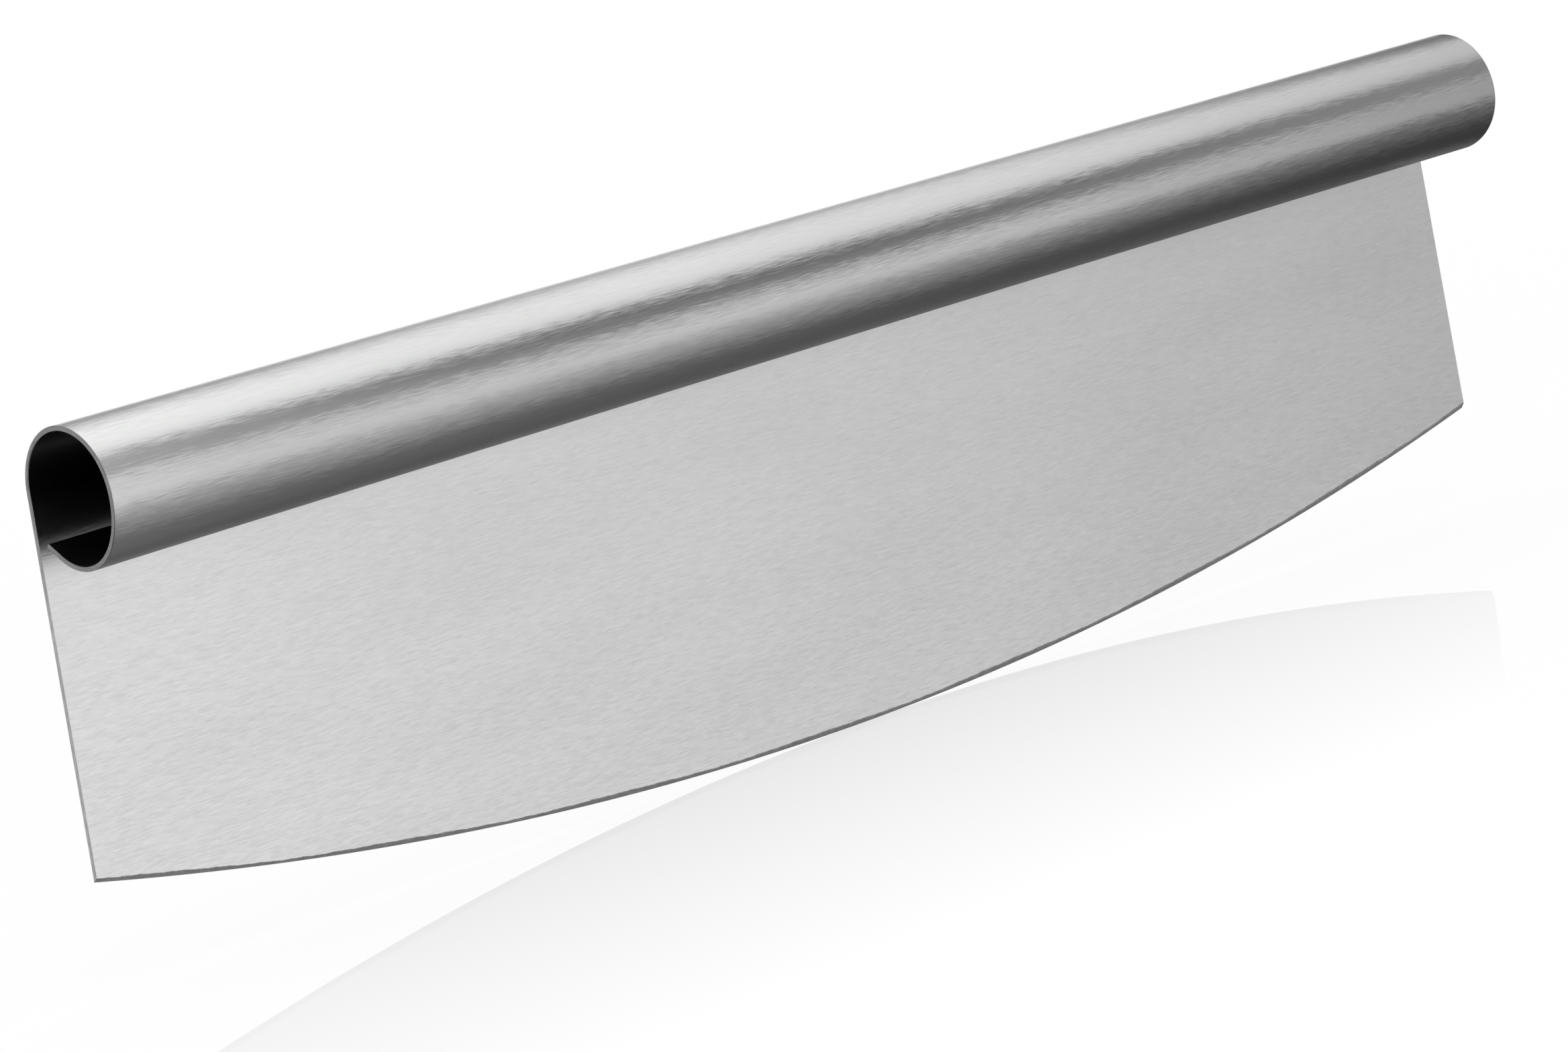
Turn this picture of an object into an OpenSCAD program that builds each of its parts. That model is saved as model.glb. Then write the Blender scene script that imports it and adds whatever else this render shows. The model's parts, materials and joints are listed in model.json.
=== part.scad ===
// Rocking pizza knife, made of one sheet of stainless steel.
// The flat blade ends below in a convex ground edge, and its top is rolled forward into an open handle.
// X runs along the handle, the blade's flat back faces +Y, and the lowest point of the edge is at z = 0.

/* [Knife] */
// Height from the lowest point of the edge to the top of the handle
overall_height = 97.5; // [80:0.5:140]
// Thickness of the sheet
sheet = 0.9; // [0.6:0.1:1.2]

/* [Handle] */
// Length of the handle, end to end
handle_length = 350; // [250:5:450]
// Outside diameter of the roll
roll_diameter = 24; // [20:0.5:36]
// How far round its axis the sheet is bent before its straight lip, in degrees
roll_wrap = 300; // [280:5:305]
// Clear gap between the tip of the lip and the front of the blade
lip_gap = 2; // [1:0.1:3]

/* [Blade] */
// How far each side of the blade leans out between the handle and its lower corner
side_lean = 2; // [0:0.5:6]
// Height of the blade's lower corners above the lowest point of the edge
edge_rise = 19.5; // [10:0.5:30]

/* [Ground edge] */
// Height of the ground bevel on the front of the blade
bevel_height = 1; // [0.6:0.1:2.5]
// Thickness that is left at the cutting edge
edge_land = 0.1; // [0.05:0.05:0.3]

/* [Hidden] */

// Roll: its axis lies one outer radius in front of the blade's back, which it meets at a tangent
roll_r = roll_diameter / 2;
bore_r = roll_r - sheet;
axis_z = overall_height - roll_r;
full_turn = 360;
open_angle = full_turn - roll_wrap;
// The cutter of the open sector reaches this many roll radii from the axis
sector_reach_share = 2;

// Lip: it runs straight on from the end of the bend until its tip stands lip_gap off the blade
front_y = roll_r - sheet;
lip_start_y = roll_r * cos(roll_wrap);
lip_length = (front_y - lip_gap - lip_start_y) / -sin(roll_wrap);

// Edge: one arc through both lower corners and the lowest point
corner_x = handle_length / 2 + side_lean;
edge_r = (corner_x * corner_x + edge_rise * edge_rise) / (2 * edge_rise);
side_slope = side_lean / (axis_z - edge_rise);

// Every cutter passes the faces that it cuts by this much
overrun = 1;
roll_facets = 180;
edge_facets = 1440;

// Carries a section drawn about the roll's axis, with +Y to its right, along the whole handle
module along_handle() {
    translate([-handle_length / 2, 0, axis_z])
        rotate([90, 0, 90])
            linear_extrude(handle_length)
                children();
}

// Gives an outline seen from the front the thickness of the sheet, back face outwards
module as_sheet() {
    translate([0, roll_r, 0])
        rotate([90, 0, 0])
            linear_extrude(sheet)
                children();
}

// Outline between the two leaning sides, from the roll's axis down past the edge
module between_sides() {
    foot_z = -overrun;
    foot_x = handle_length / 2 + side_slope * (axis_z - foot_z);
    polygon([
        [-handle_length / 2, axis_z],
        [-foot_x, foot_z],
        [foot_x, foot_z],
        [handle_length / 2, axis_z]
    ]);
}

// Sector of the section that the roll leaves open, from the end of the bend round to the blade
module open_sector() {
    reach = roll_r * sector_reach_share;
    polygon([
        [0, 0],
        [reach * cos(roll_wrap), reach * sin(roll_wrap)],
        [reach * cos(roll_wrap + open_angle / 2), reach * sin(roll_wrap + open_angle / 2)],
        [reach, 0]
    ]);
}

// Flat panel, from the roll's tangent down to the line where the grind begins
module blade() {
    color("gainsboro")
        as_sheet()
            intersection() {
                between_sides();
                translate([0, edge_r])
                    circle(r = edge_r - bevel_height, $fn = edge_facets);
            }
}

// Ground strip below the panel, flush behind and bevelled in front down to the edge's land
module cutting_edge() {
    color("dimgray")
        intersection() {
            translate([0, roll_r, edge_r])
                rotate([90, 0, 0])
                    rotate_extrude($fn = edge_facets)
                        polygon([
                            [edge_r - bevel_height, 0],
                            [edge_r, 0],
                            [edge_r, edge_land],
                            [edge_r - bevel_height, sheet]
                        ]);
            as_sheet()
                between_sides();
        }
}

// Rolled part of the sheet, an open tube that one can hold or hang on a rod
module handle_roll() {
    color("silver")
        along_handle()
            difference() {
                circle(r = roll_r, $fn = roll_facets);
                circle(r = bore_r, $fn = roll_facets);
                open_sector();
            }
}

// Straight free lip of the roll
module handle_lip() {
    color("lightgray")
        along_handle()
            rotate(roll_wrap)
                translate([bore_r, 0])
                    square([sheet, lip_length]);
}

blade();
cutting_edge();
handle_roll();
handle_lip();
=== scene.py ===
"""Rocking pizza knife: one sheet of brushed stainless steel whose top is rolled into an open handle.

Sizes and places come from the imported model. The sheet's four zones are closed skins that meet row on row:
the ground edge, the blade, the roll and its free lip. Rows follow each other along the developed length,
from the edge up the blade and round the roll to the tip of the lip, so the finish runs through from each
zone to the next.
"""

import json
import logging
import math
from collections.abc import Callable
from dataclasses import dataclass
from enum import Enum
from typing import ClassVar

import bpy
import numpy as np
from mathutils import Matrix, Vector


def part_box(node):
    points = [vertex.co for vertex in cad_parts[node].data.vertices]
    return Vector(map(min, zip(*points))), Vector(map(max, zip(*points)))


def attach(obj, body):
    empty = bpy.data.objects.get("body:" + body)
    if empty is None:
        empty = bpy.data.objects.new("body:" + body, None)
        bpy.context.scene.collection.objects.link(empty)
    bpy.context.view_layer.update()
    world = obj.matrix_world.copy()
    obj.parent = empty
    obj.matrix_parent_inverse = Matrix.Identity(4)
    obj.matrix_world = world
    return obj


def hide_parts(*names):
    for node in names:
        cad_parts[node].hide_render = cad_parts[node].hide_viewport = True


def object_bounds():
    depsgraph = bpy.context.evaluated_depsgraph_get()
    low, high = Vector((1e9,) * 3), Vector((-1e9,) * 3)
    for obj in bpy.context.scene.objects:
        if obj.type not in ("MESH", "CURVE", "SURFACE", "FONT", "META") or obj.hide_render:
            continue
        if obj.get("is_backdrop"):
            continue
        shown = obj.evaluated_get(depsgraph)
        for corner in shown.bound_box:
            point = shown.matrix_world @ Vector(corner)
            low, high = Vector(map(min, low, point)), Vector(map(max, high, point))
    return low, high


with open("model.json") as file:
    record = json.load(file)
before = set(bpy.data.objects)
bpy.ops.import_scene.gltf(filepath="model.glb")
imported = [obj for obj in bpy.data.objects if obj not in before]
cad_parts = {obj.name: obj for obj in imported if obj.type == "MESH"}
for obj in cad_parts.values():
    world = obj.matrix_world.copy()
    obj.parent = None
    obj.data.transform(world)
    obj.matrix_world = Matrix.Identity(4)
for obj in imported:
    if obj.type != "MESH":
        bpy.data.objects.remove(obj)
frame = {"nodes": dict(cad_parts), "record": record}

MM = 0.001
BODY = "root"
# Points whose heights differ by less than this are level
LEVEL_WITHIN = 0.01 * MM
# Range that a noise's value mostly keeps to
NOISE_LOW, NOISE_HIGH = 0.3, 0.7
WHITE = "#ffffff"
log = logging.getLogger("pizza_knife")


class Place(Enum):
    """Part of the sheet that a face belongs to, which decides its finish."""

    BACK = 0
    FRONT = 1
    INSIDE = 2
    BEVEL = 3
    SIDE = 4
    END = 5


class Grain(Enum):
    """Axis of the object that a finish's marks run along: X lengthwise, Z upright."""

    LENGTHWISE = 0
    UPRIGHT = 2


def linear(hex_colour: str) -> tuple[float, float, float, float]:
    """Turns an sRGB colour into linear light, by the standard's straight start and its power of 2.4.

    Args:
        hex_colour: A # and six hex digits.

    Returns:
        Red, green, blue and an alpha of one, for a shader's socket.
    """
    encoded = np.array([int(hex_colour[i : i + 2], 16) for i in (1, 3, 5)]) / 255
    light = np.where(encoded <= 0.04045, encoded / 12.92, ((encoded + 0.055) / 1.055) ** 2.4)
    return (*(float(v) for v in light), 1.0)


def add_node(
    tree: bpy.types.NodeTree,
    kind: str,
    links: dict[str | int, bpy.types.NodeSocket] | None = None,
    values: dict[str | int, object] | None = None,
    **settings: object,
) -> bpy.types.Node:
    """Adds one node with its settings, its socket values and the links that lead to it.

    Args:
        tree: Node tree of a material or the world.
        kind: Blender's type name of the node.
        links: Source socket for each linked input.
        values: Constant for each input that has one.
        **settings: Properties of the node itself.

    Returns:
        The new node.
    """
    node = tree.nodes.new(kind)
    for name, value in settings.items():
        setattr(node, name, value)
    for socket, value in (values or {}).items():
        node.inputs[socket].default_value = value
    for socket, source in (links or {}).items():
        tree.links.new(source, node.inputs[socket])
    return node


def unit(vectors: np.ndarray) -> np.ndarray:
    """Scales each vector of an array to length one."""
    return vectors / np.linalg.norm(vectors, axis=-1, keepdims=True)


def vectors(x: np.ndarray | float, y: np.ndarray | float, z: np.ndarray | float) -> np.ndarray:
    """Stacks three coordinates, each a number or an array, into an array of vectors."""
    return np.stack(np.broadcast_arrays(x, y, z), axis=-1).astype(float)


def node_points(node: str) -> np.ndarray:
    """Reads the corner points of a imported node's mesh.

    Args:
        node: Name of the node.

    Returns:
        Array of the points, one row each.
    """
    mesh = frame["nodes"][node].data
    flat = np.empty(len(mesh.vertices) * 3)
    mesh.vertices.foreach_get("co", flat)
    return flat.reshape(-1, 3)


def mount(name: str) -> dict:
    """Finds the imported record's mount of that name."""
    return next(m for m in frame["record"]["mounts"] if m["name"] == name)


@dataclass(frozen=True)
class Section:
    """Closed loop round the sheet's section, seen along the developed length.

    The loop runs along the outer face from left to right, round the right rim, back along the inner face
    and round the left rim. Each rim is a quarter turn off the outer face, a flat and a quarter turn on to
    the inner face.

    Attributes:
        columns: Number of points across each face.
        rim_steps: Number of steps in each quarter turn.
    """

    columns: int
    rim_steps: int

    @property
    def quarter(self) -> np.ndarray:
        """Angles of one quarter turn of the rim, without its start on the face."""
        return np.linspace(0.0, math.pi / 2, self.rim_steps + 1)[1:]

    def share(self) -> np.ndarray:
        """Places each point's centre across the knife, in even steps along the faces.

        Returns:
            Place of each point, from -1 at the left to 1 at the right.
        """
        flat = np.linspace(-1.0, 1.0, self.columns)
        rim = np.ones(2 * self.rim_steps)
        return np.concatenate([flat, rim, flat[::-1], -rim])

    def turn(self) -> np.ndarray:
        """Turns each point round its rim, which takes the outer face's direction over to the inner face's.

        Returns:
            Angle of each point from its face, zero on the faces and a right angle half way round a rim.
        """
        face = np.zeros(self.columns)
        there_and_back = np.concatenate([self.quarter, self.quarter[::-1]])
        return np.concatenate([face, there_and_back, face, there_and_back])

    def end(self) -> np.ndarray:
        """Tells which rim each point belongs to.

        Returns:
            1 at the right rim, -1 at the left one and 0 on the faces.
        """
        face = np.zeros(self.columns)
        rim = np.ones(2 * self.rim_steps)
        return np.concatenate([face, rim, face, -rim])

    def inner(self) -> np.ndarray:
        """Tells which points belong to the inner face, each rim's inner quarter turn among them.

        Returns:
            True for each point of the inner face.
        """
        face = np.zeros(self.columns, bool)
        quarter = np.zeros(self.rim_steps, bool)
        return np.concatenate([face, quarter, ~quarter, ~face, ~quarter, quarter])

    def across(self) -> tuple[np.ndarray, np.ndarray]:
        """Pairs the points that face each other through the sheet.

        Returns:
            Loop numbers along the outer side from left to right, and along the inner side likewise.
        """
        columns, steps = self.columns, self.rim_steps
        total = 2 * columns + 4 * steps
        outer = np.concatenate([np.arange(total - steps, total), np.arange(columns + steps)])
        inner = np.arange(total - steps - 1, columns + steps - 1, -1)
        return outer, inner


@dataclass
class Rows:
    """Rows of a skin, each value an array over rows and the points of the section's loop.

    A value that doesn't change over the rows or the points is given once and spread over them.

    Attributes:
        outer: Point of the outer face over each centre.
        up: Unit normal of the outer face.
        down: Unit normal of the inner face, which points out of the sheet.
        onward: Unit direction of growing developed length.
        thickness: Thickness of the sheet.
        rim: Radius of the rounded rims.
        lean: Angle by which a row leans onward, which rounds a free end.
        developed: Developed length of the row.
        inner_place: Place of the inner face.
        rim_place: Place of the rims.
    """

    outer: np.ndarray
    up: np.ndarray
    down: np.ndarray
    onward: np.ndarray
    thickness: np.ndarray | float
    rim: np.ndarray | float
    lean: np.ndarray | float
    developed: np.ndarray
    inner_place: Place
    rim_place: Place

    def __post_init__(self) -> None:
        """Spreads each value over all rows and points."""
        for name in ("up", "down", "onward"):
            setattr(self, name, np.broadcast_to(getattr(self, name), self.outer.shape))
        for name in ("thickness", "rim", "lean", "developed"):
            setattr(self, name, np.broadcast_to(getattr(self, name), self.outer.shape[:2]))


def skin(
    name: str, section: Section, rows: Rows, finishes: dict[Place, bpy.types.Material]
) -> bpy.types.Object:
    """Makes one closed mesh of a section's loop that is carried from row to row.

    A centre lies one rim radius inside its face. Its direction turns from the face's normal to the sheet's
    side as the rim goes round, and leans onward at a free end. The surface point is the centre plus the rim
    radius times that direction, and the direction is its normal. The first and the last row are closed
    through the thickness.

    Args:
        name: Name of the piece.
        section: Loop that the rows share.
        rows: Where each row lies.
        finishes: Material of each place.

    Returns:
        The new object, at the origin with its place in its mesh.
    """
    inner, turn, end = section.inner(), section.turn()[:, None], section.end()[:, None]
    face_normal = np.where(inner[:, None], rows.down, rows.up)
    face_point = rows.outer - np.where(inner, rows.thickness, 0.0)[..., None] * rows.up
    centre = face_point - rows.rim[..., None] * face_normal
    direction = np.cos(turn) * face_normal + np.sin(turn) * end * np.array([1.0, 0.0, 0.0])
    lean = rows.lean[..., None]
    normals = unit(np.cos(lean) * direction + np.sin(lean) * rows.onward)
    points = centre + rows.rim[..., None] * normals

    row_count, loop_count = points.shape[:2]
    row, step = np.meshgrid(np.arange(row_count - 1), np.arange(loop_count), indexing="ij")
    following = (step + 1) % loop_count
    low, high = row * loop_count, (row + 1) * loop_count
    sides = np.stack([low + step, high + step, high + following, low + following], axis=-1).reshape(-1, 4)
    on_outer, on_inner = section.across()
    start = np.stack([on_outer[:-1], on_outer[1:], on_inner[1:], on_inner[:-1]], axis=-1)
    finish = start[:, ::-1] + (row_count - 1) * loop_count
    quads = np.concatenate([sides, start, finish])

    # The map measures the developed length one way and the way round the first row's loop the other way
    stride = np.linalg.norm(np.roll(points[0], -1, axis=0) - points[0], axis=1)
    run = np.concatenate([[0.0], np.cumsum(stride)])
    length = rows.developed + rows.rim * np.sin(rows.lean)
    flat = 0 * length[1:]
    side_map = np.stack([
        np.stack([length[:-1], run[:-1] + flat], axis=-1),
        np.stack([length[1:], run[:-1] + flat], axis=-1),
        np.stack([np.roll(length[1:], -1, axis=1), run[1:] + flat], axis=-1),
        np.stack([np.roll(length[:-1], -1, axis=1), run[1:] + flat], axis=-1),
    ], axis=2).reshape(-1, 2)
    depth = np.where(inner, rows.thickness, 0.0)
    start_map = np.stack([length[0] - depth[0], run[:-1]], axis=-1)[start].reshape(-1, 2)
    finish_map = np.stack([length[-1] + depth[-1], run[:-1]], axis=-1)[start[:, ::-1]].reshape(-1, 2)

    side_normals = normals.reshape(-1, 3)[sides].reshape(-1, 3)
    start_normals = -rows.onward[0][start].reshape(-1, 3)
    finish_normals = rows.onward[-1][start[:, ::-1]].reshape(-1, 3)

    on_rim = (end[step, 0] != 0) | (end[following, 0] != 0) | (rows.lean[1:] + flat > 0)
    face_places = np.where(inner[step], rows.inner_place.value, Place.BACK.value)
    side_places = np.where(on_rim, rows.rim_place.value, face_places)
    cap_places = np.full(2 * len(start), rows.rim_place.value)
    used, slots = np.unique(np.concatenate([side_places.ravel(), cap_places]), return_inverse=True)

    mesh = bpy.data.meshes.new(name)
    mesh.vertices.add(points.size // 3)
    mesh.vertices.foreach_set("co", points.ravel())
    mesh.loops.add(quads.size)
    mesh.loops.foreach_set("vertex_index", quads.ravel())
    mesh.polygons.add(len(quads))
    mesh.polygons.foreach_set("loop_start", np.arange(0, quads.size, 4))
    mesh.polygons.foreach_set("material_index", slots)
    mesh.polygons.foreach_set("use_smooth", np.ones(len(quads), bool))
    mesh.uv_layers.new(name="developed")
    developed = np.concatenate([side_map, start_map, finish_map])
    mesh.uv_layers["developed"].uv.foreach_set("vector", developed.ravel())
    mesh.update(calc_edges=True)
    mesh.validate()
    mesh.normals_split_custom_set(np.concatenate([side_normals, start_normals, finish_normals]))
    for place in used:
        mesh.materials.append(finishes[Place(place)])
    piece = bpy.data.objects.new(name, mesh)
    bpy.context.scene.collection.objects.link(piece)
    return piece


@dataclass(frozen=True)
class Sheet:
    """Stock that the knife is cut from, with its rims deburred round.

    Attributes:
        thickness: Thickness of the stock.
        rim_radius: Radius of the deburred rims.
        rim_steps: Number of steps round each of them.
    """

    thickness: float
    rim_radius: float = 0.16 * MM
    rim_steps: int = 5


@dataclass(frozen=True)
class Outline:
    """Front view of the flat part: two leaning sides, the edge's arc and the line where its grind begins.

    Attributes:
        half_length: Half the length of the handle.
        axis_z: Height of the roll's axis, where the sides begin.
        corner_x: Half the width at the lower corners.
        corner_z: Height of the lower corners.
        bevel_height: Height of the ground bevel in the middle.
        bevel_growth: Share by which the bevel is higher at the right corner and lower at the left one,
            because the grind bites a little deeper towards the right.
        scallops: Wavelength and depth of each ripple that the belt leaves in the grind's upper line.
        side_steps: Rounds in which the width at a height settles.
    """

    half_length: float
    axis_z: float
    corner_x: float
    corner_z: float
    bevel_height: float
    bevel_growth: float = 0.27
    scallops: tuple[tuple[float, float], ...] = (
        (1.3 * MM, 0.02 * MM),
        (3.1 * MM, 0.03 * MM),
        (8.3 * MM, 0.04 * MM),
        (50.0 * MM, 0.14 * MM),
    )
    side_steps: int = 6

    @classmethod
    def from_frame(cls) -> "Outline":
        """Reads the outline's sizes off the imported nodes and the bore.

        Returns:
            The knife's outline.
        """
        edge = node_points("cutting_edge")
        corner = edge[edge[:, 0].argmax()]
        low_blade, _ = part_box("blade")
        _, high_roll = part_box("handle_roll")
        return cls(
            half_length=high_roll.x,
            axis_z=mount("handle_bore")["pos_m"][2],
            corner_x=float(corner[0]),
            corner_z=float(corner[2]),
            bevel_height=low_blade.z,
        )

    @property
    def edge_radius(self) -> float:
        """Radius of the circle through both corners and the origin: (x² + z²) / 2z."""
        return (self.corner_x**2 + self.corner_z**2) / (2 * self.corner_z)

    def edge_line(self, x: np.ndarray) -> np.ndarray:
        """Height of the cutting edge: its circle touches the ground under the handle's middle."""
        return self.edge_radius - np.sqrt(self.edge_radius**2 - x**2)

    def bevel(self, x: np.ndarray) -> np.ndarray:
        """Height of the bevel: that in the middle, plus its growth's share of it at the right corner."""
        return self.bevel_height * (1 + self.bevel_growth * x / self.corner_x)

    def grind_line(self, x: np.ndarray) -> np.ndarray:
        """Height where the grind begins: the same circle, smaller by the bevel's height and its ripples.

        Args:
            x: Distances from the middle.

        Returns:
            Height of the grind's upper line at each of them.
        """
        ripple = sum(depth * np.sin(2 * math.pi * x / length) for length, depth in self.scallops)
        radius = self.edge_radius - self.bevel(x) + ripple
        return self.edge_radius - np.sqrt(radius**2 - x**2)

    def half_width(self, height: Callable[[np.ndarray], np.ndarray], rows: int) -> np.ndarray:
        """Half the knife's width where each row meets its leaning side.

        The side lies at the half length plus the lean's slope times the depth under the axis. That depth
        depends on the width, so the two are brought together in a few steps.

        Args:
            height: Height of every row at a given distance from the middle.
            rows: Number of rows.

        Returns:
            One half width for each row, as a column.
        """
        slope = (self.corner_x - self.half_length) / (self.axis_z - self.corner_z)
        width = np.full((rows, 1), self.half_length)
        for _ in range(self.side_steps):
            width = self.half_length + slope * (self.axis_z - height(width))
        return width


@dataclass
class Zone:
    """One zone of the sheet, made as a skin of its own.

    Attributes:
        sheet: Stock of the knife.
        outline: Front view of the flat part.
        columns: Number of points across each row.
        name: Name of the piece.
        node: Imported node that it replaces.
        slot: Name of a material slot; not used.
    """

    sheet: Sheet
    outline: Outline
    columns: int
    name: ClassVar[str]
    node: ClassVar[str]
    slot: ClassVar[str] = "brushed_sheet"

    def rows(self, section: Section) -> Rows:
        """Works out the zone's rows, which each zone does in its own way."""
        raise NotImplementedError

    def build(self, finishes: dict[Place, bpy.types.Material]) -> bpy.types.Object:
        """Makes the zone's skin, dresses it and puts it on the knife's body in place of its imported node.

        Args:
            finishes: Material of each place.

        Returns:
            The new piece.
        """
        section = Section(self.columns, self.sheet.rim_steps)
        piece = skin(self.name, section, self.rows(section), finishes)
        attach(piece, BODY)
        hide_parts(self.node)
        log.info("%s stands for %s with %d faces", self.name, self.node, len(piece.data.polygons))
        return piece


@dataclass
class CuttingEdge(Zone):
    """Strip below the blade that is ground on its front down to a thin land.

    Attributes:
        back_y: Where the flat back lies.
        land: Thickness that is left at the edge.
        row_count: Number of rows up the bevel.
        blend_share: Share of the bevel's height over which the front runs into it in a curve.
        rim_share: Greatest share of the thickness that a rim's radius takes where the sheet gets thin.
    """

    back_y: float
    land: float
    row_count: int = 13
    blend_share: float = 0.45
    rim_share: float = 0.45
    name: ClassVar[str] = "ground_edge"
    node: ClassVar[str] = "cutting_edge"
    slot: ClassVar[str] = "ground_edge"

    def thinning(self, climb: np.ndarray) -> tuple[np.ndarray, np.ndarray]:
        """Share of the thickness that the grind leaves, and its slope.

        It grows straight from the edge, and in the blend's share below the grind's upper line its slope falls
        evenly to zero, as 1 − (distance into the blend) / blend.

        Args:
            climb: Share of the bevel's height, 0 at the edge and 1 at the upper line.

        Returns:
            The share at each height, 0 at the edge and 1 at the upper line, and how fast it grows.
        """
        slope = 1 / (1 - self.blend_share / 2)
        into = np.clip(climb - (1 - self.blend_share), 0, None)
        return slope * (climb - into**2 / (2 * self.blend_share)), slope * (1 - into / self.blend_share)

    def rows(self, section: Section) -> Rows:
        """Works out the strip's rows, from the land up to the grind's upper line.

        A row's height runs evenly from the edge's line to the grind's line. The back stays flat, and the
        front comes forward by the thinning's share of the sheet.

        Args:
            section: Loop that the rows share.

        Returns:
            The strip's rows.
        """
        line, climb = self.outline, np.linspace(0, 1, self.row_count)[:, None]

        def height(x: np.ndarray) -> np.ndarray:
            """Height of every row at a distance from the middle."""
            return (1 - climb) * line.edge_line(x) + climb * line.grind_line(x)

        grown, slope = self.thinning(climb)
        full = self.sheet.thickness
        thickness = self.land + (full - self.land) * grown
        rim = np.minimum(self.sheet.rim_radius, self.rim_share * thickness)
        x = section.share() * (line.half_width(height, self.row_count) - rim)
        outward = unit(vectors(x, 0.0, -np.sqrt(line.edge_radius**2 - x**2)))
        steep = ((full - self.land) / line.bevel(x) * slope)[..., None]
        return Rows(
            outer=vectors(x, self.back_y, height(x)),
            up=vectors(0.0, 1.0, 0.0),
            down=unit(vectors(0.0, -1.0, 0.0) + steep * outward),
            onward=-outward,
            thickness=thickness,
            rim=rim,
            lean=0.0,
            developed=line.bevel_height * climb,
            inner_place=Place.BEVEL,
            rim_place=Place.SIDE,
        )


@dataclass
class BladePanel(Zone):
    """Flat panel between the grind's upper line and the roll, whose back runs on into the roll.

    Attributes:
        back_y: Where the flat back lies.
        row_count: Number of rows up the blade.
    """

    back_y: float
    row_count: int = 13
    name: ClassVar[str] = "blade_panel"
    node: ClassVar[str] = "blade"

    def rows(self, section: Section) -> Rows:
        """Works out the panel's rows: heights run evenly from the grind's line to the roll's axis.

        Args:
            section: Loop that the rows share.

        Returns:
            The panel's rows.
        """
        line, climb = self.outline, np.linspace(0, 1, self.row_count)[:, None]

        def height(x: np.ndarray) -> np.ndarray:
            """Height of every row at a distance from the middle."""
            return (1 - climb) * line.grind_line(x) + climb * line.axis_z

        rim = self.sheet.rim_radius
        x = section.share() * (line.half_width(height, self.row_count) - rim)
        return Rows(
            outer=vectors(x, self.back_y, height(x)),
            up=vectors(0.0, 1.0, 0.0),
            down=vectors(0.0, -1.0, 0.0),
            onward=vectors(0.0, 0.0, 1.0),
            thickness=self.sheet.thickness,
            rim=rim,
            lean=0.0,
            developed=height(x),
            inner_place=Place.FRONT,
            rim_place=Place.SIDE,
        )


@dataclass
class HandleRoll(Zone):
    """Top of the sheet, bent round its axis into an open tube.

    Attributes:
        radius: Outer radius of the roll.
        wrap: Angle of the bend, from the blade's tangent over the top to the lip.
        step: Angle from row to row.
        spring: How far the free side springs off the circle at the left end, in the middle and at the right
            end.
        spring_peak: Angle at which the spring is greatest.
        spring_reach: Angle over which it grows before the peak and fades after it.
        probe: Small step, in radians and metres, over which the directions are taken.
    """

    radius: float
    wrap: float
    step: float = math.radians(2.5)
    spring: tuple[float, float, float] = (0.85 * MM, -0.08 * MM, -0.32 * MM)
    spring_peak: float = math.radians(250)
    spring_reach: tuple[float, float] = (math.radians(70), math.radians(100))
    probe: float = 1e-5
    name: ClassVar[str] = "rolled_handle"
    node: ClassVar[str] = "handle_roll"

    def outer_radius(self, angle: np.ndarray, x: np.ndarray) -> np.ndarray:
        """Distance of the outer face from the axis.

        It is the nominal radius plus the spring, which is a parabola along the handle through its three
        values times the squared cosine of the share of the reach that the angle is off the peak.

        Args:
            angle: Angles round the axis.
            x: Distances from the middle.

        Returns:
            Radius at each of them.
        """
        left, middle, right = self.spring
        along = x / self.outline.half_length
        amount = middle + (right - left) / 2 * along + ((left + right) / 2 - middle) * along**2
        off = angle - self.spring_peak
        share = np.clip(off / np.where(off < 0, self.spring_reach[0], self.spring_reach[1]), -1, 1)
        return self.radius + amount * np.cos(share * math.pi / 2) ** 2

    def outer(self, angle: np.ndarray, x: np.ndarray) -> np.ndarray:
        """Point of the outer face: the axis plus the radius along the angle, which turns from +Y over +Z."""
        radius = self.outer_radius(angle, x)
        return vectors(x, radius * np.cos(angle), self.outline.axis_z + radius * np.sin(angle))

    def frame_at(self, angle: np.ndarray, x: np.ndarray) -> tuple[np.ndarray, np.ndarray]:
        """Directions of the outer face, from differences of its points over a small step each way.

        Args:
            angle: Angles round the axis.
            x: Distances from the middle.

        Returns:
            Unit directions onward round the roll, and out of the outer face.
        """
        onward = unit(self.outer(angle + self.probe, x) - self.outer(angle - self.probe, x))
        along = unit(self.outer(angle, x + self.probe) - self.outer(angle, x - self.probe))
        return onward, unit(np.cross(onward, along))

    def rows(self, section: Section) -> Rows:
        """Works out the roll's rows at even angles, from the blade's tangent to the end of the bend.

        Args:
            section: Loop that the rows share.

        Returns:
            The roll's rows.
        """
        angle = np.linspace(0, self.wrap, round(self.wrap / self.step) + 1)[:, None]
        rim = self.sheet.rim_radius
        x = section.share() * (self.outline.half_length - rim) + 0 * angle
        onward, up = self.frame_at(angle, x)
        return Rows(
            outer=self.outer(angle, x),
            up=up,
            down=-up,
            onward=onward,
            thickness=self.sheet.thickness,
            rim=rim,
            lean=0.0,
            developed=self.outline.axis_z + self.radius * angle,
            inner_place=Place.INSIDE,
            rim_place=Place.END,
        )


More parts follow.
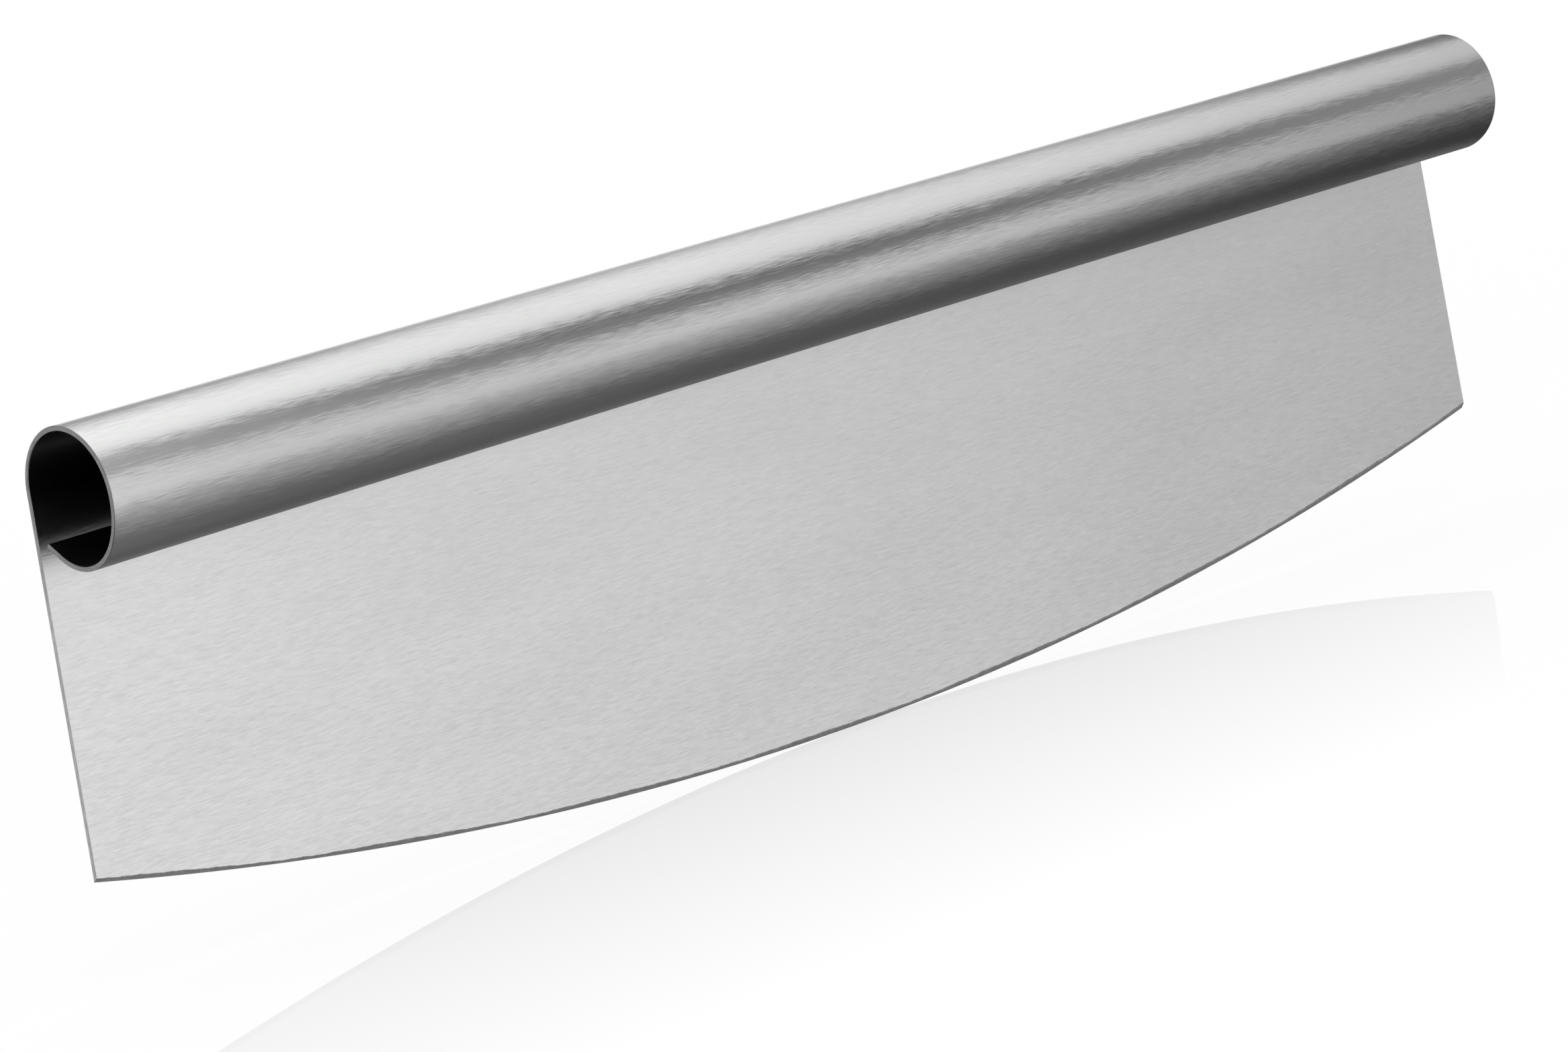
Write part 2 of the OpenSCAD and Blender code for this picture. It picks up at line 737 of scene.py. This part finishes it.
@dataclass
class HandleLip(Zone):
    """Straight lip that ends the roll, with its tip rounded like the rims.

    Attributes:
        roll: Roll that the lip ends.
        length: From the end of the bend to the tip.
        straight_rows: Number of rows before the tip's rounding.
    """

    roll: HandleRoll
    length: float
    straight_rows: int = 5
    name: ClassVar[str] = "free_lip"
    node: ClassVar[str] = "handle_lip"

    def rows(self, section: Section) -> Rows:
        """Works out the lip's rows: straight on from the bend's end, then leaning over into the rounded tip.

        Args:
            section: Loop that the rows share.

        Returns:
            The lip's rows.
        """
        rim, steps = self.sheet.rim_radius, self.sheet.rim_steps
        straight = np.linspace(0, self.length - rim, self.straight_rows)
        reach = np.concatenate([straight, np.full(steps, self.length - rim)])[:, None]
        lean = np.concatenate([0 * straight, np.linspace(0, math.pi / 2, steps + 1)[1:]])[:, None]
        x = section.share() * (self.outline.half_length - rim) + 0 * reach
        onward, up = self.roll.frame_at(self.roll.wrap, x)
        return Rows(
            outer=self.roll.outer(self.roll.wrap, x) + reach[..., None] * onward,
            up=up,
            down=-up,
            onward=onward,
            thickness=self.sheet.thickness,
            rim=rim,
            lean=lean,
            developed=self.outline.axis_z + self.roll.radius * self.roll.wrap + reach,
            inner_place=Place.INSIDE,
            rim_place=Place.END,
        )


@dataclass(frozen=True)
class Marks:
    """Marks of one size.

    Attributes:
        length: Length along the working direction, in metres.
        width: Width across it, in metres.
        detail: Number of finer layers of marks, each half the size of the one before.
        fineness: Strength of each finer layer against the one before.
    """

    length: float
    width: float
    detail: float = 0.0
    fineness: float = 0.7

    def noise(self, tree: bpy.types.NodeTree, grain: Grain) -> bpy.types.NodeSocket:
        """Adds noise that is drawn out along one axis of the object.

        Args:
            tree: The material's nodes.
            grain: Axis of the marks.

        Returns:
            Socket with the noise's value.
        """
        scale = [1 / self.width] * 3
        scale[grain.value] = 1 / self.length
        place = add_node(tree, "ShaderNodeTexCoord")
        drawn = add_node(tree, "ShaderNodeMapping", {"Vector": place.outputs["Object"]}, {"Scale": scale})
        return add_node(
            tree,
            "ShaderNodeTexNoise",
            {"Vector": drawn.outputs["Vector"]},
            {"Scale": 1.0, "Detail": self.detail, "Roughness": self.fineness},
        ).outputs["Fac"]


@dataclass(frozen=True)
class Fading:
    """Heights between which a finish passes over to another colour.

    Attributes:
        start: Height where it starts to.
        stop: Height above which only the other colour is left.
        colour: The other colour.
    """

    start: float
    stop: float
    colour: str


@dataclass(frozen=True)
class SteelFinish:
    """Stainless steel (18/10) whose surface was worked in one direction.

    Attributes:
        name: Name of the material.
        dull: Colour in the marks.
        bright: Colour between them.
        marks: Fine marks of the work.
        clouds: Slow changes of tone from one stroke of the belt to the next.
        grain: Axis that the marks run along.
        tilt: Angle by which the marks' flanks lean, in degrees.
        rough: Roughness between the marks and in them.
        anisotropy: How much wider a highlight is across the marks than along them.
        fading: Heights over which the colour darkens towards the roll, or None where it stays the same; on
            the blade's front this is painted shade of the roll's hollow.
        cloud_share: Share of the clouds in the colour, the rest being the marks'.
    """

    name: str
    dull: str
    bright: str
    marks: Marks
    clouds: Marks
    grain: Grain
    tilt: float
    rough: tuple[float, float]
    anisotropy: float
    fading: Fading | None = None
    cloud_share: float = 0.35

    def material(self) -> bpy.types.Material:
        """Makes the material.

        The marks' noise sets its roughness and leans its normal across the marks, as their flanks do.
        Together with the slow clouds it also sets the colour.

        Returns:
            The new material.
        """
        material = bpy.data.materials.new(self.name)
        material.use_nodes = True
        tree = material.node_tree
        tree.nodes.clear()
        marks = self.marks.noise(tree, self.grain)
        clouds = self.clouds.noise(tree, self.grain)
        reach = {"From Min": NOISE_LOW, "From Max": NOISE_HIGH}
        blend = add_node(
            tree, "ShaderNodeMix", {2: marks, 3: clouds}, {0: self.cloud_share}, data_type="FLOAT"
        )
        tone = add_node(tree, "ShaderNodeMapRange", {"Value": blend.outputs[0]}, reach)
        colour = add_node(
            tree,
            "ShaderNodeMix",
            {0: tone.outputs["Result"]},
            {6: linear(self.dull), 7: linear(self.bright)},
            data_type="RGBA",
        )
        # Darkens the colour between two heights towards the roll; on the blade's front this paints the shade
        # of the roll's hollow
        if self.fading:
            place = add_node(tree, "ShaderNodeTexCoord")
            parts = add_node(tree, "ShaderNodeSeparateXYZ", {0: place.outputs["Object"]})
            darkening = add_node(
                tree,
                "ShaderNodeMapRange",
                {"Value": parts.outputs["Z"]},
                {"From Min": self.fading.start, "From Max": self.fading.stop},
            )
            colour = add_node(
                tree,
                "ShaderNodeMix",
                {0: darkening.outputs["Result"], 6: colour.outputs[2]},
                {7: linear(self.fading.colour)},
                data_type="RGBA",
            )
        rough = add_node(
            tree,
            "ShaderNodeMapRange",
            {"Value": marks},
            {**reach, "To Min": self.rough[1], "To Max": self.rough[0]},
        )
        # A normal map's middle value of 0.5 stands for no lean
        flank = math.tan(math.radians(self.tilt)) / 2
        lean = add_node(
            tree,
            "ShaderNodeMapRange",
            {"Value": marks},
            {**reach, "To Min": 0.5 - flank, "To Max": 0.5 + flank},
            clamp=False,
        )
        # The developed length runs across lengthwise marks and along upright ones, where highlights stretch a
        # quarter turn away from it
        across, turned = (0, 0.0) if self.grain is Grain.LENGTHWISE else (1, 0.25)
        tilted = add_node(
            tree, "ShaderNodeCombineXYZ", {across: lean.outputs["Result"]}, {1 - across: 0.5, 2: 1.0}
        )
        normal = add_node(
            tree,
            "ShaderNodeNormalMap",
            {"Color": tilted.outputs[0]},
            {"Strength": 1.0},
            uv_map="developed",
        )
        tangent = add_node(tree, "ShaderNodeTangent", direction_type="UV_MAP", uv_map="developed")
        shader = add_node(
            tree,
            "ShaderNodeBsdfPrincipled",
            {
                "Base Color": colour.outputs[2],
                "Roughness": rough.outputs["Result"],
                "Normal": normal.outputs["Normal"],
                "Tangent": tangent.outputs["Tangent"],
            },
            {"Metallic": 1.0, "Anisotropic": self.anisotropy, "Anisotropic Rotation": turned},
        )
        add_node(tree, "ShaderNodeOutputMaterial", {"Surface": shader.outputs["BSDF"]})
        return material


# Stainless steel, brushed: back of the sheet, which is the outside of the roll. It was worked along its
# length with a fine belt: highlights stretch far across the marks, and short fine streaks show wherever
# light turns to dark. Real marks are 0.05 mm wide, and these are drawn as coarse as they need to show.
BRUSHED_BACK = SteelFinish(
    name="brushed_stainless_back",
    dull="#cacbca",
    bright="#d2d3d2",
    marks=Marks(4.0 * MM, 0.22 * MM, 1.0),
    clouds=Marks(60.0 * MM, 12.0 * MM),
    grain=Grain.LENGTHWISE,
    tilt=3.4,
    rough=(0.23, 0.27),
    anisotropy=0.7,
)

# Stainless steel, brushed by hand once the sheet was rolled: front of the blade. It has the same marks on a
# lighter, duller ground, whose highlights spread along the marks too. Towards the roll its colour passes
# over to the dark of the inside, which is painted shade of the roll's hollow.
BRUSHED_FRONT = SteelFinish(
    name="brushed_stainless_front",
    dull="#dbdcdb",
    bright="#e5e6e5",
    marks=Marks(2.5 * MM, 0.2 * MM, 1.0),
    clouds=Marks(60.0 * MM, 12.0 * MM),
    grain=Grain.LENGTHWISE,
    tilt=2.4,
    rough=(0.32, 0.35),
    anisotropy=0.4,
    # Painted shade: the front darkens to the inside's colour where it runs into the roll's hollow
    fading=Fading(78.0 * MM, 85.5 * MM, "#828382"),
)

# Stainless steel: inside of the roll. Its dark colour is painted shade of the tube's hollow, so the tube
# looks almost black from its end.
INSIDE_PAINTED_SHADE = SteelFinish(
    name="inside_steel_painted_shade",
    dull="#7c7d7c",
    bright="#888988",
    marks=Marks(6.0 * MM, 0.4 * MM, 1.0),
    clouds=Marks(40.0 * MM, 10.0 * MM),
    grain=Grain.LENGTHWISE,
    tilt=1.0,
    rough=(0.3, 0.34),
    anisotropy=0.4,
)

# Stainless steel, ground across the edge with a coarser belt: bevel. It is dull all over, with scratches
# square to the edge.
GROUND = SteelFinish(
    name="cross_ground_bevel",
    dull="#a9aaa9",
    bright="#c8c9c8",
    marks=Marks(2.0 * MM, 0.26 * MM, 1.0),
    clouds=Marks(4.0 * MM, 1.5 * MM),
    grain=Grain.UPRIGHT,
    tilt=8.0,
    rough=(0.66, 0.78),
    anisotropy=0.2,
)

# Stainless steel, deburred with the brushing belt: sides of the blade. They are almost as light as its
# front, with marks along them, and darken towards the roll.
DEBURRED_SIDE = SteelFinish(
    name="deburred_stainless_side",
    dull="#b0b1b0",
    bright="#cecfce",
    marks=Marks(2.0 * MM, 0.2 * MM, 1.0),
    clouds=Marks(12.0 * MM, 3.0 * MM),
    grain=Grain.UPRIGHT,
    tilt=3.0,
    rough=(0.34, 0.4),
    anisotropy=0.2,
    fading=Fading(62.0 * MM, 85.5 * MM, "#8e8f8e"),
)

# Stainless steel, tumbled until its burrs are gone: cut ends of the roll and its lip. They are even, soft and
# without brush marks.
TUMBLED_END = SteelFinish(
    name="tumbled_stainless_end",
    dull="#828382",
    bright="#9a9b9a",
    marks=Marks(0.5 * MM, 0.35 * MM, 1.0),
    clouds=Marks(5.0 * MM, 2.0 * MM),
    grain=Grain.LENGTHWISE,
    tilt=4.0,
    rough=(0.34, 0.44),
    anisotropy=0.0,
)


@dataclass
class Knife:
    """The whole knife: its sizes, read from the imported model, and the zones of its sheet.

    Attributes:
        outline: Front view of the flat part.
        sheet: Stock that it is cut from.
        roll_radius: Outer radius of the roll, whose tangent the flat back is.
        wrap: Angle of the bend.
        lip_length: Length of the straight lip.
        land: Thickness that is left at the cutting edge.
        fine_columns: Points across the flat part, half a millimetre apart for the ripples of the grind.
        coarse_columns: Points along the handle.
    """

    outline: Outline
    sheet: Sheet
    roll_radius: float
    wrap: float
    lip_length: float
    land: float
    fine_columns: int = 709
    coarse_columns: int = 178

    @classmethod
    def from_frame(cls) -> "Knife":
        """Reads the sheet's and the roll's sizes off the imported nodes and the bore.

        The bend stops where the lip's inner corner lies on the bore. The lip runs on along the tangent
        there until its tip, and the land is what the lowest points leave of the sheet.

        Returns:
            The knife.
        """
        low_roll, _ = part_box("handle_roll")
        low_lip, high_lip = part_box("handle_lip")
        edge = node_points("cutting_edge")
        roll_radius = -low_roll.y
        bore_radius = mount("handle_bore")["dims"]["r_mm"] * MM
        wrap = 2 * math.pi - math.acos(low_lip.y / bore_radius)
        lowest = edge[edge[:, 2] < edge[:, 2].min() + LEVEL_WITHIN]
        return cls(
            outline=Outline.from_frame(),
            sheet=Sheet(thickness=roll_radius - bore_radius),
            roll_radius=roll_radius,
            wrap=wrap,
            lip_length=(high_lip.y - roll_radius * math.cos(wrap)) / -math.sin(wrap),
            land=roll_radius - float(lowest[:, 1].min()),
        )

    def zones(self) -> list[Zone]:
        """Lists the sheet's zones.

        Returns:
            The four zones, from the edge to the lip.
        """
        sheet, line, radius = self.sheet, self.outline, self.roll_radius
        roll = HandleRoll(sheet, line, self.coarse_columns, radius, self.wrap)
        return [
            CuttingEdge(sheet, line, self.fine_columns, back_y=radius, land=self.land),
            BladePanel(sheet, line, self.fine_columns, back_y=radius),
            roll,
            HandleLip(sheet, line, self.coarse_columns, roll, self.lip_length),
        ]

    def build(self) -> None:
        """Makes the finishes and each zone's piece."""
        finishes = {
            Place.BACK: BRUSHED_BACK.material(),
            Place.FRONT: BRUSHED_FRONT.material(),
            # The inside's dark colour is painted shade of the roll's hollow
            Place.INSIDE: INSIDE_PAINTED_SHADE.material(),
            Place.BEVEL: GROUND.material(),
            Place.SIDE: DEBURRED_SIDE.material(),
            Place.END: TUMBLED_END.material(),
        }
        for zone in self.zones():
            zone.build(finishes)


@dataclass(frozen=True)
class Panel:
    """Soft light panel of the tent, which runs the length of the knife.

    Attributes:
        middle: Angle of its middle above the front horizon, in degrees round the knife's length.
        half: Half of the angle that it covers.
        soft: Angle over which its border fades, to each side of that.
        levels: Its strength at each of the tent's stations.
    """

    middle: float
    half: float
    soft: float
    levels: tuple[float, ...]


@dataclass(frozen=True)
class LightTent:
    """Light tent: panels round the knife's length with dark gaps between them.

    Light that the knife reflects a second time, as inside the roll, comes in weaker.

    Attributes:
        stations: Shares of a direction that lie along the knife, at which the panels' strengths are given.
        panels: The tent's panels.
        again: Share of its strength at which the tent lights what the knife has already reflected once.
        first_depth: Ray depth between that of a first reflection and that of the next one.
    """

    stations: tuple[float, ...] = (0.4, 0.5, 0.555, 0.58, 0.63, 0.69, 0.75, 0.84, 0.93)
    panels: tuple[Panel, ...] = (
        # Dim cloth all round, which the gaps show, and the pale end walls
        Panel(0, 200, 1, (0.12, 0.13, 0.14, 0.07, 0.08, 0.06, 0.03, 0.02, 0.5)),
        # Pale table under the knife
        Panel(-112, 36, 15, (0.25, 0.08, 0.05, 0.08, 0.07, 0.025, 0.0, 0.0, 0.1)),
        # Overhead panel, the bright band on top of the roll
        Panel(89, 33, 12, (1.1, 1.35, 1.45, 1.2, 1.14, 1.04, 0.76, 0.15, 0.8)),
        # Its far wing, over the back, and the cloth that hangs from it
        Panel(134, 8, 18, (0.8, 1.0, 1.1, 1.1, 1.2, 1.3, 0.0, 0.0, 0.3)),
        Panel(156, 8, 15, (0.0, 0.0, 0.0, 0.3, 0.5, 0.42, 0.0, 0.0, 0.0)),
        # Low front panel, which the blade and the front of the roll show, with a bright upper part
        Panel(-2, 21.5, 6, (0.72, 1.06, 1.08, 0.25, 0.48, 0.66, 0.39, 0.04, 0.6)),
        Panel(30, 17, 5, (0.3, 0.8, 0.86, 0.0, 0.0, 0.0, 0.46, 0.0, 0.2)),
        # White cloth in front of the table's edge
        Panel(-30, 27, 30, (0.5, 0.33, 0.28, 0.43, 0.57, 0.37, 0.05, 0.0, 0.3)),
        # White strip along the horizon at the back
        Panel(175, 8, 4, (1.0, 1.0, 1.0, 1.0, 1.0, 1.0, 0.9, 0.4, 0.8)),
        # Back wall under it, which the back of the blade shows
        Panel(-152, 29, 20, (0.75, 0.8, 0.8, 0.8, 0.75, 0.55, 0.0, 0.1, 0.5)),
    )
    again: float = 0.45
    first_depth: float = 2.5

    def add_panel(
        self,
        tree: bpy.types.NodeTree,
        panel: Panel,
        side: bpy.types.NodeSocket,
        angle: bpy.types.NodeSocket,
        total: bpy.types.NodeSocket | None,
    ) -> bpy.types.NodeSocket:
        """Adds one panel's light to that of the panels before it.

        Its strength follows its levels from station to station, and falls smoothly to zero where the angle's
        distance from its middle passes its half angle.

        Args:
            tree: The world's nodes.
            panel: The panel.
            side: Share of the direction that lies along the knife.
            angle: Angle of the direction round the knife.
            total: Light of the panels before it, if there are any.

        Returns:
            Socket with the light of all panels so far.
        """
        ramp = add_node(tree, "ShaderNodeValToRGB", {"Fac": side})
        elements = ramp.color_ramp.elements
        while len(elements) < len(self.stations):
            elements.new(0.5)
        for element, station, level in zip(elements, self.stations, panel.levels):
            element.position = station
            element.color = (level, level, level, 1.0)
        middle = math.radians(panel.middle)
        off = add_node(tree, "ShaderNodeMath", {0: angle}, {1: middle}, operation="SUBTRACT")
        wrapped = add_node(
            tree,
            "ShaderNodeMath",
            {0: off.outputs["Value"]},
            {1: math.pi, 2: -math.pi},
            operation="WRAP",
        )
        distance = add_node(tree, "ShaderNodeMath", {0: wrapped.outputs["Value"]}, operation="ABSOLUTE")
        cover = add_node(
            tree,
            "ShaderNodeMapRange",
            {"Value": distance.outputs["Value"]},
            {
                "From Min": math.radians(panel.half - panel.soft),
                "From Max": math.radians(panel.half + panel.soft),
                "To Min": 1.0,
                "To Max": 0.0,
            },
            interpolation_type="SMOOTHSTEP",
        )
        before = {2: total} if total else {}
        lit = add_node(
            tree,
            "ShaderNodeMath",
            {0: cover.outputs["Result"], 1: ramp.outputs["Color"], **before},
            {2: 0.0},
            operation="MULTIPLY_ADD",
        )
        return lit.outputs["Value"]

    def build(self) -> None:
        """Makes the world: white for the camera and the floor's sharp mirror, the tent for all other rays.

        The angle round the knife is the arc tangent of the direction's height over its forward part.
        """
        world = bpy.data.worlds.new("light_tent")
        bpy.context.scene.world = world
        world.use_nodes = True
        tree = world.node_tree
        tree.nodes.clear()
        direction = add_node(tree, "ShaderNodeTexCoord")
        parts = add_node(tree, "ShaderNodeSeparateXYZ", {0: direction.outputs["Generated"]})
        forward = add_node(
            tree, "ShaderNodeMath", {0: parts.outputs["Y"]}, {1: -1.0}, operation="MULTIPLY"
        )
        angle = add_node(
            tree,
            "ShaderNodeMath",
            {0: parts.outputs["Z"], 1: forward.outputs["Value"]},
            operation="ARCTAN2",
        )
        side = add_node(tree, "ShaderNodeMath", {0: parts.outputs["X"]}, operation="ABSOLUTE")
        total = None
        for panel in self.panels:
            total = self.add_panel(tree, panel, side.outputs["Value"], angle.outputs["Value"], total)
        ray = add_node(tree, "ShaderNodeLightPath")
        later = add_node(
            tree,
            "ShaderNodeMath",
            {0: ray.outputs["Ray Depth"]},
            {1: self.first_depth},
            operation="GREATER_THAN",
        )
        kept = add_node(
            tree,
            "ShaderNodeMapRange",
            {"Value": later.outputs["Value"]},
            {"To Min": 1.0, "To Max": self.again},
        )
        level = add_node(
            tree, "ShaderNodeMath", {0: total, 1: kept.outputs["Result"]}, operation="MULTIPLY"
        )
        colour = {"Color": linear(WHITE)}
        tent = add_node(tree, "ShaderNodeBackground", {"Strength": level.outputs["Value"]}, colour)
        white = add_node(tree, "ShaderNodeBackground", None, {**colour, "Strength": 1.0})
        plain = add_node(
            tree,
            "ShaderNodeMath",
            {0: ray.outputs["Is Camera Ray"], 1: ray.outputs["Is Singular Ray"]},
            operation="MAXIMUM",
        )
        shown = add_node(
            tree,
            "ShaderNodeMixShader",
            {0: plain.outputs["Value"], 1: tent.outputs[0], 2: white.outputs[0]},
        )
        add_node(tree, "ShaderNodeOutputWorld", {"Surface": shown.outputs[0]})


@dataclass(frozen=True)
class Floor:
    """Pale polished floor that the knife stands on, which takes its shadow and faintly mirrors it.

    Attributes:
        half_size: Half the floor's size.
        colour: Colour of its matt part.
        matt_share: Share of its look that is lit near the knife, the rest being plain white to the camera.
        matt_reach: Distances from the knife between which the lit share fades.
        mirror_share: Share of the mirror at the knife's foot.
        mirror_reach: Distance from the foot over which the mirror fades.
    """

    half_size: float = 6.0
    colour: str = "#f4f4f4"
    matt_share: float = 0.08
    matt_reach: tuple[float, float] = (0.2, 0.7)
    mirror_share: float = 0.2
    mirror_reach: float = 130 * MM

    def build(self, foot_y: float) -> None:
        """Makes the floor, seen from above only, and hides it from the knife's gloss, which shows the tent.

        Args:
            foot_y: Where the knife's edge stands on the floor.
        """
        h = self.half_size
        mesh = bpy.data.meshes.new("floor")
        mesh.from_pydata([(-h, -h, 0), (h, -h, 0), (h, h, 0), (-h, h, 0)], [], [(0, 1, 2, 3)])
        floor = bpy.data.objects.new("floor", mesh)
        bpy.context.scene.collection.objects.link(floor)
        mesh.materials.append(self.material(foot_y))
        floor.visible_glossy = False
        floor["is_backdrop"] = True

    def material(self, foot_y: float) -> bpy.types.Material:
        """Makes polished board: a matt part, plain white for the camera and a sharp mirror at the foot.

        The matt part's share falls with the distance from the knife, and the mirror's with that from the line
        where it stands. Seen from below, the board is clear.

        Args:
            foot_y: Where the knife's edge stands on the floor.

        Returns:
            The new material.
        """
        material = bpy.data.materials.new("polished_white_board")
        material.use_nodes = True
        tree = material.node_tree
        tree.nodes.clear()
        matt = add_node(tree, "ShaderNodeBsdfDiffuse", None, {"Color": linear(self.colour)})
        white = add_node(tree, "ShaderNodeEmission", None, {"Color": linear(WHITE), "Strength": 1.0})
        clear = add_node(tree, "ShaderNodeBsdfTransparent")
        mirror = add_node(tree, "ShaderNodeBsdfGlossy", None, {"Color": linear(WHITE), "Roughness": 0.0})
        place = add_node(tree, "ShaderNodeTexCoord")
        away = add_node(tree, "ShaderNodeVectorMath", {0: place.outputs["Object"]}, operation="LENGTH")
        near, far = self.matt_reach
        matt_part = add_node(
            tree,
            "ShaderNodeMapRange",
            {"Value": away.outputs["Value"]},
            {"From Min": near, "From Max": far, "To Min": self.matt_share, "To Max": 0.0},
        )
        ray = add_node(tree, "ShaderNodeLightPath")
        rest = add_node(
            tree, "ShaderNodeMath", {1: matt_part.outputs["Result"]}, {0: 1.0}, operation="SUBTRACT"
        )
        white_part = add_node(
            tree,
            "ShaderNodeMath",
            {0: ray.outputs["Is Camera Ray"], 1: rest.outputs["Value"]},
            operation="MULTIPLY",
        )
        lit = add_node(
            tree,
            "ShaderNodeMixShader",
            {0: white_part.outputs["Value"], 1: matt.outputs[0], 2: white.outputs[0]},
        )
        parts = add_node(tree, "ShaderNodeSeparateXYZ", {0: place.outputs["Object"]})
        off = add_node(tree, "ShaderNodeMath", {0: parts.outputs["Y"]}, {1: foot_y}, operation="SUBTRACT")
        distance = add_node(tree, "ShaderNodeMath", {0: off.outputs["Value"]}, operation="ABSOLUTE")
        mirror_part = add_node(
            tree,
            "ShaderNodeMapRange",
            {"Value": distance.outputs["Value"]},
            {"From Min": 0.0, "From Max": self.mirror_reach, "To Min": self.mirror_share, "To Max": 0.0},
        )
        polished = add_node(
            tree,
            "ShaderNodeMixShader",
            {0: mirror_part.outputs["Result"], 1: lit.outputs[0], 2: mirror.outputs[0]},
        )
        side = add_node(tree, "ShaderNodeNewGeometry")
        shown = add_node(
            tree,
            "ShaderNodeMixShader",
            {0: side.outputs["Backfacing"], 1: polished.outputs[0], 2: clear.outputs[0]},
        )
        add_node(tree, "ShaderNodeOutputMaterial", {"Surface": shown.outputs[0]})
        return material


@dataclass(frozen=True)
class Softbox:
    """Softbox over the knife, for the soft shadow on the floor. The tent gives the gloss.

    Attributes:
        place: Where it hangs, facing the origin.
        size: Its width and height.
        watts: Its power.
    """

    place: tuple[float, float, float] = (-0.25, -0.3, 0.9)
    size: tuple[float, float] = (0.8, 0.5)
    watts: float = 2.5

    def build(self) -> None:
        """Makes the lamp and turns it to the origin."""
        lamp = bpy.data.lights.new("softbox", "AREA")
        lamp.shape = "RECTANGLE"
        lamp.size, lamp.size_y = self.size
        lamp.energy = self.watts
        softbox = bpy.data.objects.new("softbox", lamp)
        softbox.location = self.place
        softbox.rotation_euler = (-Vector(self.place)).to_track_quat("-Z", "Y").to_euler()
        softbox.visible_glossy = False
        bpy.context.scene.collection.objects.link(softbox)


@dataclass(frozen=True)
class PhotoCamera:
    """Camera at the photograph's place: to the left, above and in front, tilted so that the knife climbs.

    Attributes:
        azimuth: Turn about the vertical, in degrees. Zero looks along +Y.
        elevation: Height above the horizon that it looks down from, in degrees.
        roll: Turn about its own line of sight, in degrees.
        aim: Point in the middle of the frame.
        distance: From the camera to that point.
        focal: Focal length in millimetres.
        sensor: Width of the sensor in millimetres.
        clip: Nearest and furthest distance that it sees.
    """

    azimuth: float = -41.21
    elevation: float = 9.41
    roll: float = -10.09
    aim: tuple[float, float, float] = (-22.4 * MM, 0.0, 43.2 * MM)
    distance: float = 1071 * MM
    focal: float = 134.86
    sensor: float = 36.0
    clip: tuple[float, float] = (0.05, 50.0)

    def build(self) -> None:
        """Makes the camera: it turns about its line of sight, then rises, then swings round the vertical."""
        data = bpy.data.cameras.new("photo_camera")
        data.sensor_width = self.sensor
        data.lens = self.focal
        data.clip_start, data.clip_end = self.clip
        turn = (
            Matrix.Rotation(math.radians(self.azimuth), 4, "Z")
            @ Matrix.Rotation(math.radians(90 - self.elevation), 4, "X")
            @ Matrix.Rotation(math.radians(self.roll), 4, "Z")
        )
        camera = bpy.data.objects.new("photo_camera", data)
        back = turn @ Vector((0.0, 0.0, self.distance))
        camera.matrix_world = Matrix.Translation(Vector(self.aim) + back) @ turn
        bpy.context.scene.collection.objects.link(camera)
        bpy.context.scene.camera = camera


def main() -> None:
    """Builds the knife and the studio round it."""
    logging.basicConfig(level=logging.INFO, format="%(name)s: %(message)s")
    cad_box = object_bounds()
    bpy.context.scene.view_settings.view_transform = "Standard"
    PhotoCamera().build()
    Knife.from_frame().build()
    LightTent().build()
    Softbox().build()
    Floor().build(foot_y=cad_box[1][1])


if __name__ == "__main__":
    main()
